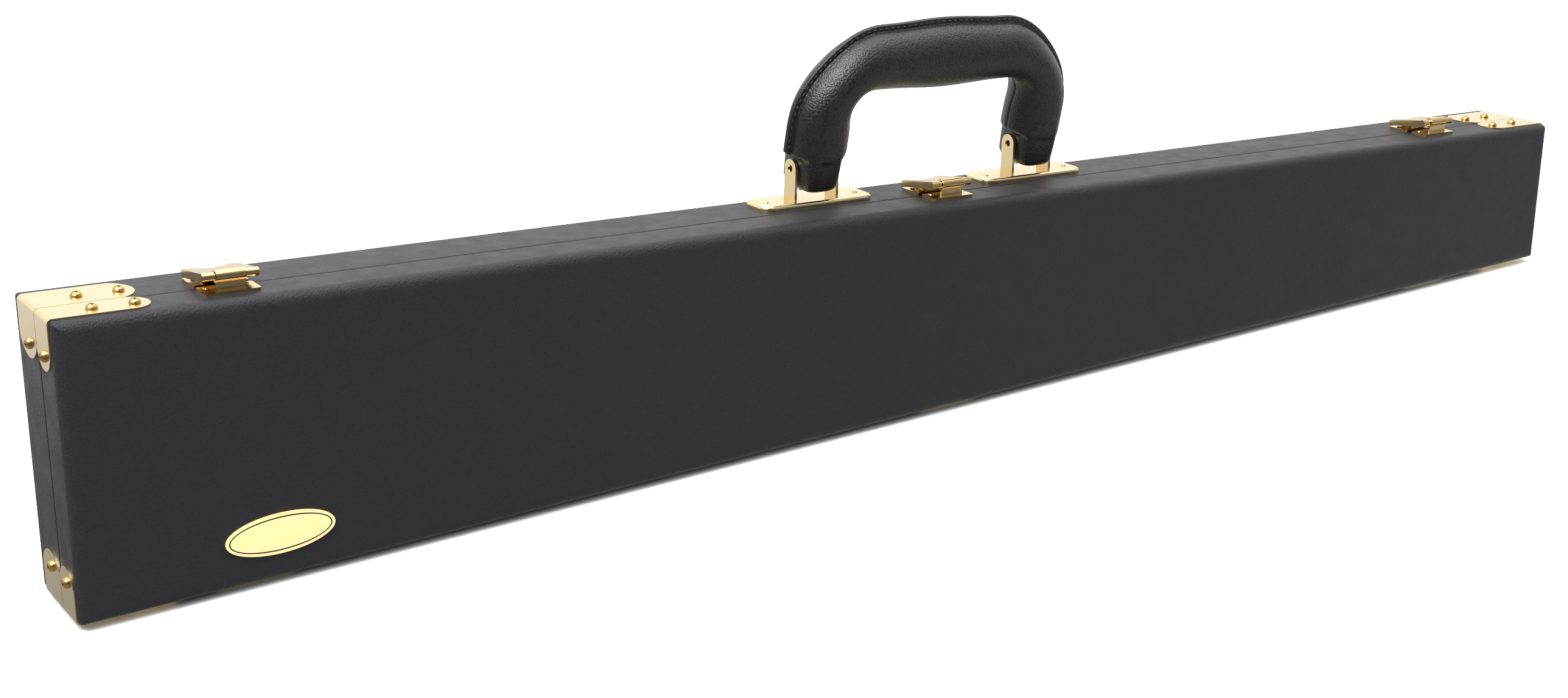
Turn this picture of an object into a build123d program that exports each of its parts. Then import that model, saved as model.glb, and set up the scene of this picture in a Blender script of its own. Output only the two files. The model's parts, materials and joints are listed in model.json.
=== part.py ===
from build123d import *
import os
from math import atan, cos, radians, sin

# Slim tapered case for two instrument bows, standing on its hinged side.
# Millimetres. X runs along the case, the lid faces -Y, +Z is up, and z = 0 is the ground.
# Places along the top and bottom sides are measured from the middle of the side.

# Case body
case_length = 800.0
left_height = 115.5
right_height = 74.0
lid_depth = 20.5
base_depth = 29.0
seam_gap = 0.3
lid_edge_radius = 4.7
base_edge_radius = 4.0
case_corner_radius = 1.5
covering_thickness = 0.8
board_thickness = 4.2
panel_behind_rounding = 0.4
lining_thickness = 1.0

# Corner plates and their dome screws
corner_thickness = 0.6
corner_long_arm = 38.6
corner_end_arm = 20.3
corner_front_margin = 0.2
corner_back_margin = 3.9
corner_seam_margin = 0.15
corner_tip_bulge = 6.5
dome_radius = 2.25
dome_height = 1.8
cross_length = 2.4
cross_width = 0.6
cross_depth = 0.8
shank_radius = 1.1
shank_bite = 2.6
screw_from_tip = 5.9
screw_pitch = 15.4
end_screw_from_tip = 5.8
screw_row_from_seam = 9.1

# Hinges under the case
hinge_length = 30.0
hinge_leaf_width = 9.5
hinge_leaf_thickness = 0.6
knuckle_radius = 1.5
knuckle_count = 5
knuckle_gap = 0.3
hinge_pin_radius = 0.8
hinge_relief = 0.4
hinge_screw_radius = 1.5
hinge_screw_height = 0.5
hinge_screw_spread = 9.0
hinge_screw_from_edge = 3.6

# Latches on the top side
latch_from_left = 68.5
latch_from_right = 77.0
latch_middle_offset = 1.5
latch_width = 21.7
latch_foot_thickness = 1.0
foot_corner_radius = 1.0
strike_foot_near = 1.5
strike_foot_far = 13.7
strike_width = 12.0
strike_near = 4.0
strike_far = 10.5
strike_height = 1.6
catch_foot_near = 1.1
catch_foot_far = 11.4
catch_tongue_lead = 1.4
latch_knuckle_radius = 2.4
latch_knuckle_width = 11.5
latch_axis_from_seam = 7.9
latch_axis_height = 6.3
latch_pin_radius = 0.9
latch_side_gap = 0.3
lever_knuckle_radius = 1.7
lever_back = 13.9
lever_back_top = 4.4
lever_back_low = 1.5
lever_front_top = 7.8
lever_front_low = 4.5
lever_plate = 1.4
lever_wall = 0.9
thumb_radius = 7.0
thumb_depth = 0.8
thumb_from_back = 2.0
rivet_radius = 1.3
rivet_height = 0.45
rivet_spread = 7.6

# Handle, its plates and pins
handle_spacing = 121.4
handle_plate_length = 58.5
handle_plate_width = 18.6
handle_plate_behind_pins = 1.2
handle_plate_thickness = 2.4
handle_plate_corner = 5.5
handle_plate_edge = 1.4
handle_from_seam = 11.3
ear_outer_width = 23.0
ear_thickness = 1.2
ear_radius = 4.25
pin_height = 16.4
pin_radius = 1.7
pin_recess = 0.4
pin_hollow_radius = 1.4
pin_hollow_depth = 1.5
plate_rivet_spread = 23.5
handle_lean = 11.0
grip_rise = 47.0
leg_radius = 13.2
grip_radius = 14.6
grip_bend_radius = 27.0
leg_start = 5.5
leg_shoulder = 1.8
end_thickness = 24.2
end_drop = 8.8
end_corner = 6.5
end_rounding = 3.5
ear_clearance = 0.5
welt_height = 2.8
welt_thickness = 2.4
welt_overlap = 4.0
core_width = 8.0
core_thickness = 3.0
core_eye_radius = 4.0
core_eye_length = 14.0
core_tab_drop = 9.6
core_tab_thickness = 6.0
core_fit = 0.05
running_fit = 0.05
leather_hole_gap = 0.4

# Oval nameplate on the lid
nameplate_length = 43.4
nameplate_height = 16.0
nameplate_thickness = 0.9
nameplate_rim = 1.3
nameplate_groove = 0.35
nameplate_groove_depth = 0.3
nameplate_from_left = 75.9
nameplate_from_bottom = 18.8

# Fittings inside the base
block_clearance = 0.3
stick_spacing = 39.0
stick_convergence = 0.0259
frog_block_length = 70.0
frog_block_height = 17.0
frog_channel = 19.0
frog_channel_floor = 3.0
tip_block_length = 46.0
tip_block_height = 15.0
tip_channel = 11.0
tip_channel_floor = 3.0
channel_end_wall = 8.0
rest_length = 24.0
rest_height = 12.0
rest_offset = 200.0
groove_width = 11.0
groove_depth = 6.0
block_edge_radius = 1.5
post_radius = 2.0
post_foot_radius = 4.0
post_foot_height = 1.6
post_head_radius = 3.6
post_head_height = 1.2
button_thickness = 2.6
button_width = 10.0
button_overhang = 5.0
button_gap = 0.3

# Values that follow from the ones above
half_taper = atan((left_height - right_height) / 2 / case_length)
side_slope = 2 * half_taper
mean_height = (left_height + right_height) / 2
stance = corner_thickness + dome_height
front_y = -(lid_depth + base_depth) / 2
seam_y = front_y + lid_depth
back_y = seam_y + base_depth
centre_z = stance + cos(half_taper) * mean_height / 2
wall = covering_thickness + board_thickness
inner_wall = wall + lining_thickness
hinge_axis_drop = corner_thickness
side_length = case_length / cos(half_taper)
top_x = Vector(cos(side_slope), 0, -sin(side_slope))
top_up = Vector(sin(side_slope), 0, cos(side_slope))
handle_y = seam_y + handle_from_seam
thumb_sphere = (thumb_radius**2 + thumb_depth**2) / (2 * thumb_depth)

latch_places = {
    "left": latch_from_left - side_length / 2,
    "middle": latch_middle_offset,
    "right": side_length / 2 - latch_from_right,
}
handle_places = {"left": -handle_spacing / 2, "right": handle_spacing / 2}
ends = {"left": -1, "right": 1}
sides = {"top": 1, "bottom": -1}


def finish(builder, node):
    """Labels a finished piece and writes it."""
    builder.part.label = node
    export_step(builder.part, f"parts/{node}.step")


def case_plane(y):
    """The plane along the case at depth y: x follows the centreline, z looks forward."""
    return Plane((0, y, centre_z), x_dir=(cos(half_taper), 0, -sin(half_taper)), z_dir=(0, -1, 0))


def top_plane(along, y, height=0.0):
    """A plane on the top side: x along the side, y towards the back, z away from the case."""
    middle = case_plane(y).from_local_coords((0, mean_height / 2, 0))
    return Plane(middle + top_x * along + top_up * height, x_dir=top_x, z_dir=top_up)


def bottom_plane(along, y, height=0.0):
    """A plane on the bottom side, with z pointing down and y towards the back."""
    return Plane((along, y, stance - height), x_dir=(-1, 0, 0), z_dir=(0, 0, -1))


def top_section(along):
    """A plane across the top side: x towards the back from the seam, y up, z along."""
    return Plane(top_plane(along, seam_y).origin, x_dir=(0, 1, 0), z_dir=top_x)


def half_height(along, inset=0.0):
    """Half the case's height at a place on the centreline, less an inset from its side."""
    return mean_height / 2 - along * (left_height - right_height) / 2 / case_length - inset / cos(half_taper)


def outline_points(inset=0.0):
    """The four corners of the case's outline, drawn in by an inset."""
    reach = case_length / 2 - inset
    high_left = half_height(-reach, inset)
    high_right = half_height(reach, inset)
    return [(-reach, -high_left), (reach, -high_right), (reach, high_right), (-reach, high_left)]


def extrude_outline(y_start, y_end, inset=0.0, mode=Mode.ADD):
    """Adds or cuts the case's outline between two depths."""
    with BuildSketch(case_plane(y_start)) as outline:
        Polygon(*outline_points(inset), align=None)
    extrude(outline.sketch, amount=y_start - y_end, mode=mode)


def round_far_edges(y, radius):
    """Rounds the perimeter of the large face at depth y."""
    fillet(edges().filter_by(lambda e: abs(e.center().Y - y) < 0.01), radius)


# Each half is told by its rim, its large face, which way it goes from the seam, and its rounding.
halves = {
    "lid": (seam_y - seam_gap / 2, front_y, -1, lid_edge_radius),
    "base": (seam_y + seam_gap / 2, back_y, 1, base_edge_radius),
}


def corner_range(half):
    """The depths between which a half's corner plates lie."""
    if half == "lid":
        return front_y + lid_edge_radius + corner_front_margin, seam_y - corner_seam_margin
    return seam_y + corner_seam_margin, back_y - base_edge_radius - corner_back_margin


def side_corner(end, side, grow=0.0):
    """The case's corner in the case plane, moved out by a thickness."""
    reach = end * (case_length / 2 + grow)
    return Vector(reach, side * half_height(reach, -grow))


def plate_plane(plane, spot, along, outward):
    """A plane at a spot of the case plane: x runs along the plate, z looks away from the case."""
    origin = plane.from_local_coords(spot)
    x_dir = plane.from_local_coords(spot + along) - origin
    z_dir = plane.from_local_coords(spot + outward) - origin
    return Plane(origin, x_dir=x_dir, z_dir=z_dir)


def plate_arms(end, side):
    """Both arms of a corner plate: direction, outward normal, length and screw distances."""
    inward = Vector(-end * cos(half_taper), end * side * sin(half_taper))
    outward = Vector(sin(half_taper), side * cos(half_taper))
    far_screw = corner_long_arm - screw_from_tip
    long_arm = (inward, outward, corner_long_arm, (far_screw, far_screw - screw_pitch))
    end_arm = (Vector(0, -side), Vector(end, 0), corner_end_arm, (corner_end_arm - end_screw_from_tip,))
    return long_arm, end_arm


def corner_screw_planes(half):
    """Planes on the corner plates' outer faces where the dome screws sit."""
    plane = case_plane(seam_y + halves[half][2] * screw_row_from_seam)
    planes = []
    for end in ends.values():
        for side in sides.values():
            corner = side_corner(end, side)
            for along, outward, length, screws in plate_arms(end, side):
                for distance in screws:
                    spot = corner + along * distance + outward * corner_thickness
                    planes.append(plate_plane(plane, spot, along, outward))
    return planes


def shank_holes(half):
    """The screw shanks' holes in a half, as one cutting body."""
    with BuildPart() as holes:
        for plane in corner_screw_planes(half):
            with BuildSketch(plane):
                Circle(shank_radius)
            extrude(amount=-(corner_thickness + covering_thickness + shank_bite))
    return holes.part


def hinge_axis(along=0.0):
    """A plane on the hinge line whose z runs along the case."""
    return Plane((along, seam_y, stance - hinge_axis_drop), x_dir=(0, 1, 0), z_dir=(1, 0, 0))


def hinge_reliefs():
    """Round grooves along the seam that clear the hinge knuckles."""
    with BuildPart() as reliefs:
        for along in latch_places.values():
            with BuildSketch(hinge_axis(along)):
                Circle(knuckle_radius + hinge_relief)
            extrude(amount=hinge_length / 2 + hinge_relief, both=True)
    return reliefs.part


def panel_inside(half):
    """The depth of the panel's inner face."""
    face, way, radius = halves[half][1:]
    return face - way * (radius + panel_behind_rounding)


def lining_inside(half):
    """The depth of the lining's inner face."""
    return panel_inside(half) - halves[half][2] * lining_thickness


def case_half(half, holes, reliefs):
    """Covering, boards, panel and lining of one half."""
    rim, face, way, radius = halves[half]
    face_inside = face - way * covering_thickness
    board_rim = rim + way * covering_thickness
    floor = panel_inside(half)

    with BuildPart() as filling:
        extrude_outline(board_rim, face_inside, covering_thickness)
        round_far_edges(face_inside, radius - covering_thickness)

    with BuildPart() as covering:
        extrude_outline(rim, face)
        fillet(edges().filter_by(Axis.Y), case_corner_radius)
        round_far_edges(face, radius)
        add(filling.part, mode=Mode.SUBTRACT)
        extrude_outline(rim, board_rim, wall, Mode.SUBTRACT)
        add(holes, mode=Mode.SUBTRACT)
        add(reliefs, mode=Mode.SUBTRACT)
    finish(covering, f"{half}_covering")

    with BuildPart() as panel:
        extrude_outline(floor, face_inside, covering_thickness)
        round_far_edges(face_inside, radius - covering_thickness)
        add(holes, mode=Mode.SUBTRACT)
    finish(panel, f"{half}_panel")

    reach = case_length / 2 - covering_thickness
    for name, side in sides.items():
        outer = [(u, side * half_height(u, covering_thickness)) for u in (-reach, reach)]
        inner = [(u, side * half_height(u, wall)) for u in (reach, -reach)]
        with BuildPart() as board:
            with BuildSketch(case_plane(board_rim)):
                Polygon(*outer, *inner, align=None)
            extrude(amount=board_rim - floor)
            add(holes, mode=Mode.SUBTRACT)
            add(reliefs, mode=Mode.SUBTRACT)
        finish(board, f"{half}_side_{name}")

    for name, end in ends.items():
        outside = end * reach
        inside = end * (reach - board_thickness)
        high = half_height(outside, wall)
        low = half_height(inside, wall)
        with BuildPart() as board:
            with BuildSketch(case_plane(board_rim)):
                Polygon((outside, high), (inside, low), (inside, -low), (outside, -high), align=None)
            extrude(amount=board_rim - floor)
            add(holes, mode=Mode.SUBTRACT)
        finish(board, f"{half}_end_{name}")

    with BuildPart() as lining:
        extrude_outline(board_rim, floor, wall)
        extrude_outline(board_rim, lining_inside(half), inner_wall, Mode.SUBTRACT)
    finish(lining, f"{half}_lining")


def round_tip(plane, width):
    """Cuts the tip of a plate's arm to an arc; the plane stands on the tip with x pointing out."""
    with BuildSketch(plane) as waste:
        Rectangle(2 * corner_tip_bulge, 2 * width)
        with BuildLine():
            ThreePointArc((-corner_tip_bulge, -width / 2), (0, 0), (-corner_tip_bulge, width / 2))
            Line((-corner_tip_bulge, width / 2), (-corner_tip_bulge, -width / 2))
        make_face(mode=Mode.SUBTRACT)
    extrude(waste.sketch, amount=2 * corner_thickness, both=True, mode=Mode.SUBTRACT)


def corner_plates(half, holes):
    """Four bent plates over the ends of one half, and the dome screws that hold them."""
    near, far = corner_range(half)
    middle = case_plane((near + far) / 2)
    for end_name, end in ends.items():
        for side_name, side in sides.items():
            corner = side_corner(end, side)
            (inward, outward, long_arm, _), (down, out, end_arm, _) = plate_arms(end, side)
            arm_tip = corner + inward * long_arm
            end_tip = corner + down * end_arm
            points = [arm_tip, arm_tip + outward * corner_thickness, side_corner(end, side, corner_thickness),
                      end_tip + out * corner_thickness, end_tip, corner]
            with BuildPart() as plate:
                with BuildSketch(case_plane(far)):
                    Polygon(*[(p.X, p.Y) for p in points], align=None)
                extrude(amount=far - near)
                bend = edges().filter_by(Axis.Y).sort_by_distance((0, seam_y, centre_z))
                fillet(bend[-2], case_corner_radius)
                bend = edges().filter_by(Axis.Y).sort_by_distance((0, seam_y, centre_z))
                fillet(bend[-1], case_corner_radius + corner_thickness)
                round_tip(plate_plane(middle, arm_tip, inward, outward), far - near)
                round_tip(plate_plane(middle, end_tip, down, out), far - near)
                add(holes, mode=Mode.SUBTRACT)
            finish(plate, f"corner_plate_{half}_{side_name}_{end_name}")

    with BuildPart() as screws:
        for plane in corner_screw_planes(half):
            dome_screw(plane)
    finish(screws, f"corner_screws_{half}")


def dome_screw(plane):
    """A low dome head with a short shank and a crossed recess, standing on a plane."""
    bite = corner_thickness + covering_thickness + shank_bite
    with BuildSketch(Plane(plane.origin, x_dir=plane.x_dir, z_dir=-plane.y_dir)) as profile:
        with BuildLine():
            Polyline((dome_radius, 0.15 * dome_height), (dome_radius, 0), (shank_radius, 0),
                     (shank_radius, -bite), (0, -bite), (0, dome_height), (0.4 * dome_radius, dome_height))
            ThreePointArc((0.4 * dome_radius, dome_height), (0.85 * dome_radius, 0.6 * dome_height),
                          (dome_radius, 0.15 * dome_height))
        make_face()
    revolve(profile.sketch, axis=Axis(plane.origin, plane.z_dir))
    # The crowns that the case stands on are left whole.
    if plane.z_dir.Z > -0.5:
        with BuildSketch(plane.offset(dome_height)) as cross:
            Rectangle(cross_length, cross_width)
            Rectangle(cross_width, cross_length)
        extrude(cross.sketch, amount=-cross_depth, mode=Mode.SUBTRACT)


def hinge(name, along):
    """Two leaves and a pin under the case, with knuckles taken in turn."""
    pitch = hinge_length / knuckle_count
    for half, way in (("base", 1), ("lid", -1)):
        first = 0 if half == "base" else 1
        with BuildPart() as leaf:
            with BuildSketch(bottom_plane(along, seam_y)):
                with Locations((0, way * (seam_gap + hinge_leaf_width / 2))):
                    Rectangle(hinge_length, hinge_leaf_width)
            extrude(amount=hinge_leaf_thickness)
            for number in range(1 - first, knuckle_count, 2):
                start = along - hinge_length / 2 + number * pitch
                with BuildSketch(hinge_axis(start + pitch / 2)):
                    Circle(knuckle_radius + knuckle_gap)
                extrude(amount=pitch / 2 + knuckle_gap / 2, both=True, mode=Mode.SUBTRACT)
            for number in range(first, knuckle_count, 2):
                start = along - hinge_length / 2 + number * pitch
                with BuildSketch(hinge_axis(start + pitch / 2)):
                    Circle(knuckle_radius)
                extrude(amount=(pitch - knuckle_gap) / 2, both=True)
            bore = hinge_pin_radius + (0 if half == "base" else running_fit)
            with BuildSketch(hinge_axis(along)):
                Circle(bore)
            extrude(amount=hinge_length / 2, both=True, mode=Mode.SUBTRACT)
        finish(leaf, f"hinge_leaf_{half}_{name}")


def hinge_pins():
    """One pin in each hinge."""
    with BuildPart() as pins:
        for along in latch_places.values():
            with BuildSketch(hinge_axis(along)):
                Circle(hinge_pin_radius)
            extrude(amount=hinge_length / 2, both=True)
    finish(pins, "hinge_pins")


def hinge_screws(half, way):
    """Low heads on the hinge leaves of one half."""
    with BuildPart() as heads:
        for along in latch_places.values():
            spot = seam_y + way * (seam_gap + hinge_leaf_width - hinge_screw_from_edge)
            with BuildSketch(bottom_plane(along, spot, hinge_leaf_thickness)):
                with GridLocations(2 * hinge_screw_spread, 1, 2, 1):
                    Circle(hinge_screw_radius)
            extrude(amount=hinge_screw_height, taper=20)
    finish(heads, f"hinge_screws_{half}")


def foot_plate(along, near, far):
    """Adds a thin plate on the top side between two distances behind the seam."""
    with BuildSketch(top_plane(along, seam_y + (near + far) / 2)) as foot:
        RectangleRounded(latch_width, abs(far - near), foot_corner_radius)
    extrude(foot.sketch, amount=latch_foot_thickness)


def latch_strike(name, along):
    """The foot on the base, with the low strike that the lever snaps over."""
    with BuildPart() as strike:
        foot_plate(along, strike_foot_near, strike_foot_far)
        with BuildSketch(top_plane(along, seam_y, latch_foot_thickness)):
            with Locations((0, (strike_near + strike_far) / 2)):
                RectangleRounded(strike_width, strike_far - strike_near, foot_corner_radius)
        extrude(amount=strike_height, taper=15)
    finish(strike, f"latch_strike_{name}")


def latch_catch(name, along):
    """The foot on the lid, with the tongue and knuckle that carry the lever."""
    with BuildPart() as catch:
        foot_plate(along, -catch_foot_near, -catch_foot_far)
        with BuildSketch(top_section(along)):
            with Locations((-latch_axis_from_seam, latch_axis_height)):
                Circle(latch_knuckle_radius)
            with Locations((-latch_axis_from_seam - catch_tongue_lead, latch_foot_thickness / 2)):
                Rectangle(latch_foot_thickness, latch_axis_height - latch_foot_thickness / 2,
                          align=(Align.MIN, Align.MIN))
        extrude(amount=latch_knuckle_width / 2, both=True)
        with BuildSketch(top_section(along)):
            with Locations((-latch_axis_from_seam, latch_axis_height)):
                Circle(latch_pin_radius)
        extrude(amount=latch_knuckle_width / 2, both=True, mode=Mode.SUBTRACT)
    finish(catch, f"latch_catch_{name}")


def latch_lever(name, along):
    """The cover that flips over the seam: a sloping tray with two knuckles at its front."""
    front = -latch_axis_from_seam
    axis = (front, latch_axis_height)
    outside = [(front, lever_front_low), (lever_back, lever_back_low), (lever_back, lever_back_top),
               (front, lever_front_top)]
    inside = [(front, 0), (lever_back + 1, 0), (lever_back + 1, lever_back_top - lever_plate),
              (lever_back, lever_back_top - lever_plate), (front, lever_front_top - lever_plate)]
    notch_width = latch_knuckle_width + 2 * latch_side_gap
    section = top_section(along)
    with BuildPart() as lever:
        with BuildSketch(section):
            Polygon(*outside, align=None)
        extrude(amount=latch_width / 2, both=True)
        with BuildSketch(section):
            Polygon(*inside, align=None)
        extrude(amount=latch_width / 2 - lever_wall, both=True, mode=Mode.SUBTRACT)
        with BuildSketch(section):
            with Locations(axis):
                Circle(lever_knuckle_radius)
        extrude(amount=latch_width / 2, both=True)
        with BuildSketch(section):
            with Locations(axis):
                Circle(latch_knuckle_radius + latch_side_gap)
        extrude(amount=notch_width / 2, both=True, mode=Mode.SUBTRACT)
        with BuildSketch(section):
            with Locations(axis):
                Circle(latch_pin_radius + running_fit)
        extrude(amount=latch_width, both=True, mode=Mode.SUBTRACT)
        up_slope = (Vector(front, lever_front_top) - Vector(lever_back, lever_back_top)).normalized()
        away = Vector(up_slope.Y, -up_slope.X)
        scoop = Vector(lever_back, lever_back_top) + up_slope * thumb_from_back
        scoop += away * (thumb_sphere - thumb_depth)
        with Locations(section.from_local_coords(scoop)):
            Sphere(thumb_sphere, mode=Mode.SUBTRACT)
    finish(lever, f"latch_lever_{name}")


def latch_pins():
    """The pins that the levers turn on."""
    with BuildPart() as pins:
        for along in latch_places.values():
            with BuildSketch(top_section(along)):
                with Locations((-latch_axis_from_seam, latch_axis_height)):
                    Circle(latch_pin_radius)
            extrude(amount=latch_width / 2, both=True)
    finish(pins, "latch_pins")


def rivets(half, spots):
    """Flat rivet heads at places on the top side, each with its height above the side."""
    with BuildPart() as heads:
        for along, behind_seam, height in spots:
            with BuildSketch(top_plane(along, seam_y + behind_seam, height)):
                Circle(rivet_radius)
            extrude(amount=rivet_height, taper=25)
    finish(heads, f"plate_rivets_{half}")


def handle_plate(name, along):
    """A rounded plate with two ears bent up for the handle's pin."""
    ear_inside = ear_outer_width / 2 - ear_thickness
    with BuildPart() as plate:
        with BuildSketch(top_plane(along, handle_y + handle_plate_behind_pins)):
            RectangleRounded(handle_plate_length, handle_plate_width, handle_plate_corner)
        extrude(amount=handle_plate_thickness)
        upper = faces().sort_by(Axis(top_plane(along, handle_y).origin, top_up))[-1]
        fillet(upper.edges(), handle_plate_edge)
        for way in (-1, 1):
            origin = top_plane(along + way * ear_inside, handle_y).origin
            with BuildSketch(Plane(origin, x_dir=(0, 1, 0), z_dir=top_x)):
                with Locations((0, pin_height)):
                    Circle(ear_radius)
                Rectangle(2 * ear_radius, pin_height, align=(Align.CENTER, Align.MIN))
                with Locations((0, pin_height)):
                    Circle(pin_radius, mode=Mode.SUBTRACT)
            extrude(amount=way * ear_thickness)
    finish(plate, f"handle_plate_{name}")


def handle_pins():
    """Pins through the ears, with hollow ends set a little below the ears' faces."""
    reach = ear_outer_width / 2 - pin_recess
    with BuildPart() as pins:
        for along in handle_places.values():
            axis = Plane(top_plane(along, handle_y, pin_height).origin, x_dir=(0, 1, 0), z_dir=top_x)
            with BuildSketch(axis):
                Circle(pin_radius)
            extrude(amount=reach, both=True)
            for way in (-1, 1):
                with BuildSketch(axis.offset(way * reach)):
                    Circle(pin_hollow_radius)
                extrude(amount=-way * pin_hollow_depth, mode=Mode.SUBTRACT)
    finish(pins, "handle_pins")


def handle_frame():
    """The handle's own plane through its pins: x along, y up the legs, z forward."""
    lean = radians(handle_lean)
    forward = Vector(0, -1, 0) * cos(lean) - top_up * sin(lean)
    return Plane(top_plane(0, handle_y, pin_height).origin, x_dir=top_x, z_dir=forward)


def leg_plane(along, rise):
    """A plane across a handle leg at a height above the pins."""
    frame = handle_frame()
    return Plane(frame.from_local_coords((along, rise, 0)), x_dir=frame.x_dir, z_dir=frame.y_dir)


def pin_plane(along):
    """A plane across a handle pin at a place along the handle."""
    frame = handle_frame()
    return Plane(frame.from_local_coords((along, 0, 0)), x_dir=frame.z_dir, z_dir=frame.x_dir)


def arch_strip(outer, inner, start):
    """The strip between two distances from the handle's centreline, starting up the legs."""
    with BuildSketch(handle_frame()) as strip:
        for grow, mode in ((outer, Mode.ADD), (inner, Mode.SUBTRACT)):
            half_span = handle_spacing / 2 + grow
            bend = grip_bend_radius + grow
            bend_start = grip_rise - grip_bend_radius
            with BuildLine():
                Line((-half_span, start), (-half_span, bend_start))
                JernArc((-half_span, bend_start), (0, 1), bend, -90)
                Line((-half_span + bend, grip_rise + grow), (half_span - bend, grip_rise + grow))
                JernArc((half_span - bend, grip_rise + grow), (1, 0), bend, -90)
                Line((half_span, bend_start), (half_span, start))
                Line((half_span, start), (-half_span, start))
            make_face(mode=mode)
    return strip.sketch


def core_body(grow):
    """The handle's steel core: a bent strap with an eye and a tab at each end."""
    with BuildPart() as body:
        half = core_thickness / 2 + grow
        extrude(arch_strip(half, -half, 0), amount=core_width / 2 + grow, both=True)
        for along in handle_places.values():
            with BuildSketch(pin_plane(along)):
                Circle(core_eye_radius + grow)
            extrude(amount=core_eye_length / 2 + grow, both=True)
            with BuildSketch(leg_plane(along, 0)):
                Rectangle(core_eye_length + 2 * grow, core_tab_thickness + 2 * grow)
            extrude(amount=-core_tab_drop)
    return body.part


def handle():
    """The core and the padded leather grip with its welt."""
    frame = handle_frame()
    core_shape = core_body(0)
    core_cavity = core_body(core_fit)
    with BuildPart() as core:
        add(core_shape)
        for along in handle_places.values():
            with BuildSketch(pin_plane(along)):
                Circle(pin_radius + running_fit)
            extrude(amount=ear_outer_width / 2, both=True, mode=Mode.SUBTRACT)
    finish(core, "handle_core")

    end_width = ear_outer_width - 2 * ear_thickness - 2 * ear_clearance
    bend_start = grip_rise - grip_bend_radius
    half_bar = handle_spacing / 2 - grip_bend_radius
    with BuildPart() as grip:
        for along in handle_places.values():
            with BuildSketch(leg_plane(along, leg_start)):
                Circle(leg_radius)
            extrude(amount=bend_start - leg_start)
        shoulders = edges().filter_by(lambda e: abs(frame.to_local_coords(e.center()).Y - leg_start) < 0.01)
        fillet(shoulders, leg_shoulder)
        for way in (-1, 1):
            with BuildSketch(leg_plane(way * handle_spacing / 2, bend_start)):
                Circle(leg_radius)
            centre = frame.from_local_coords((way * half_bar, bend_start, 0))
            revolve(axis=Axis(centre, frame.z_dir * way), revolution_arc=90)
        with BuildSketch(frame):
            with BuildLine():
                Line((-half_bar, grip_rise), (-half_bar, grip_rise + leg_radius))
                ThreePointArc((-half_bar, grip_rise + leg_radius), (0, grip_rise + grip_radius),
                              (half_bar, grip_rise + leg_radius))
                Line((half_bar, grip_rise + leg_radius), (half_bar, grip_rise))
                Line((half_bar, grip_rise), (-half_bar, grip_rise))
            make_face()
        revolve(axis=Axis(frame.from_local_coords((0, grip_rise, 0)), frame.x_dir))
        welt = arch_strip(leg_radius + welt_height, leg_radius - welt_overlap, leg_start + leg_shoulder)
        extrude(welt, amount=welt_thickness / 2, both=True)
        for along in handle_places.values():
            with BuildSketch(leg_plane(along, -end_drop)):
                RectangleRounded(end_width, end_thickness, end_corner)
            extrude(amount=end_drop + leg_start + leg_shoulder)
        bottoms = edges().filter_by(lambda e: abs(frame.to_local_coords(e.center()).Y + end_drop) < 0.01)
        fillet(bottoms, end_rounding)
        add(core_cavity, mode=Mode.SUBTRACT)
        for along in handle_places.values():
            with BuildSketch(pin_plane(along)):
                Circle(pin_radius + leather_hole_gap)
            extrude(amount=ear_outer_width / 2, both=True, mode=Mode.SUBTRACT)
    finish(grip, "handle_grip")


def nameplate():
    """An oval plate with a fine groove inside its rim."""
    plane = Plane((nameplate_from_left - case_length / 2, front_y, stance + nameplate_from_bottom),
                  x_dir=(1, 0, 0), z_dir=(0, -1, 0))
    half_long = nameplate_length / 2
    half_high = nameplate_height / 2
    with BuildPart() as plate:
        with BuildSketch(plane):
            Ellipse(half_long, half_high)
        extrude(amount=nameplate_thickness)
        with BuildSketch(plane.offset(nameplate_thickness)):
            Ellipse(half_long - nameplate_rim, half_high - nameplate_rim)
            field = nameplate_rim + nameplate_groove
            Ellipse(half_long - field, half_high - field, mode=Mode.SUBTRACT)
        extrude(amount=-nameplate_groove_depth, mode=Mode.SUBTRACT)
    finish(plate, "nameplate")


def stick_offset(along):
    """How far a bow's stick lies from the centreline."""
    return (stick_spacing - along * stick_convergence) / 2


def padded_block(node, start, end, height, channels):
    """A block on the base's lining between two places, with channels cut along it."""
    floor_y = lining_inside("base")
    inset = inner_wall + block_clearance
    corners = [(start, half_height(start, inset)), (end, half_height(end, inset)),
               (end, -half_height(end, inset)), (start, -half_height(start, inset))]
    with BuildPart() as block:
        with BuildSketch(case_plane(floor_y)):
            Polygon(*corners, align=None)
        extrude(amount=height)
        upper = edges().filter_by(lambda e: abs(e.center().Y - (floor_y - height)) < 0.01)
        fillet(upper, block_edge_radius)
        for low, high, width, floor in channels:
            middle = stick_offset((start + end) / 2)
            with BuildSketch(case_plane(floor_y - height)):
                for side in sides.values():
                    with Locations(((low + high) / 2, side * middle)):
                        Rectangle(high - low, width)
            extrude(amount=-(height - floor), mode=Mode.SUBTRACT)
    finish(block, node)


def blocks():
    """Padded blocks for frogs, sticks and heads."""
    reach = case_length / 2 - inner_wall - block_clearance
    frog_end = -reach + frog_block_length
    padded_block("frog_block", -reach, frog_end, frog_block_height,
                 [(-reach + channel_end_wall, frog_end, frog_channel, frog_channel_floor)])
    tip_start = reach - tip_block_length
    padded_block("tip_block", tip_start, reach, tip_block_height,
                 [(tip_start, reach - channel_end_wall, tip_channel, tip_channel_floor)])
    for name, end in ends.items():
        start = end * rest_offset - rest_length / 2
        padded_block(f"stick_rest_{name}", start, start + rest_length, rest_height,
                     [(start, start + rest_length, groove_width, rest_height - groove_depth)])


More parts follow.
